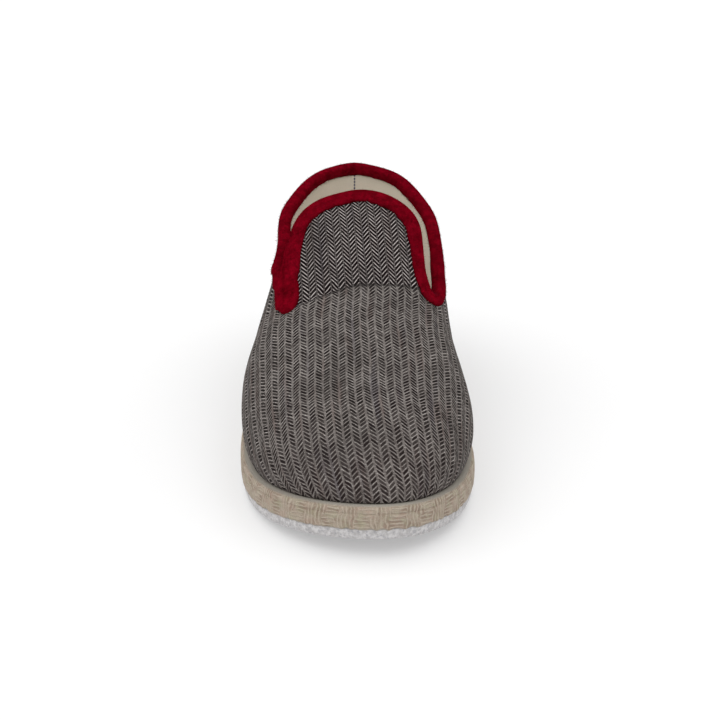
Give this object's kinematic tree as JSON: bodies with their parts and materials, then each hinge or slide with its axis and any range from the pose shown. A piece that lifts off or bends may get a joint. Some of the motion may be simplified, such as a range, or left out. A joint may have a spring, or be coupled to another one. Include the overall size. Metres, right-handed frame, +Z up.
{
  "type": "house slipper",
  "caption": "Right-foot house slipper: tweed upper with a raised tongue flap, felt-bound collar notched at both sides, cushioned band midsole and thin flat outsole.",
  "frame": {"origin": "centre of the bounding box in plan, on the floor under the sole", "axes": "-Y towards the toe, +Y towards the heel, +X towards the inner (medial) side of the right foot, +Z up"},
  "size_m": [0.1049, 0.285, 0.1073],
  "materials": {
    "outsole": "matt off-white with fine speckles",
    "midsole": "matt beige foam band with a basket-weave relief",
    "insole": "cream napped lining cloth",
    "upper": "dark brown and light grey herringbone tweed, cream lining inside",
    "binding": "deep red felt"
  },
  "bodies": {
    "root": {"outsole": "outsole", "midsole": "midsole", "insole": "insole", "upper": "upper", "binding": "binding"}
  },
  "joints": []
}
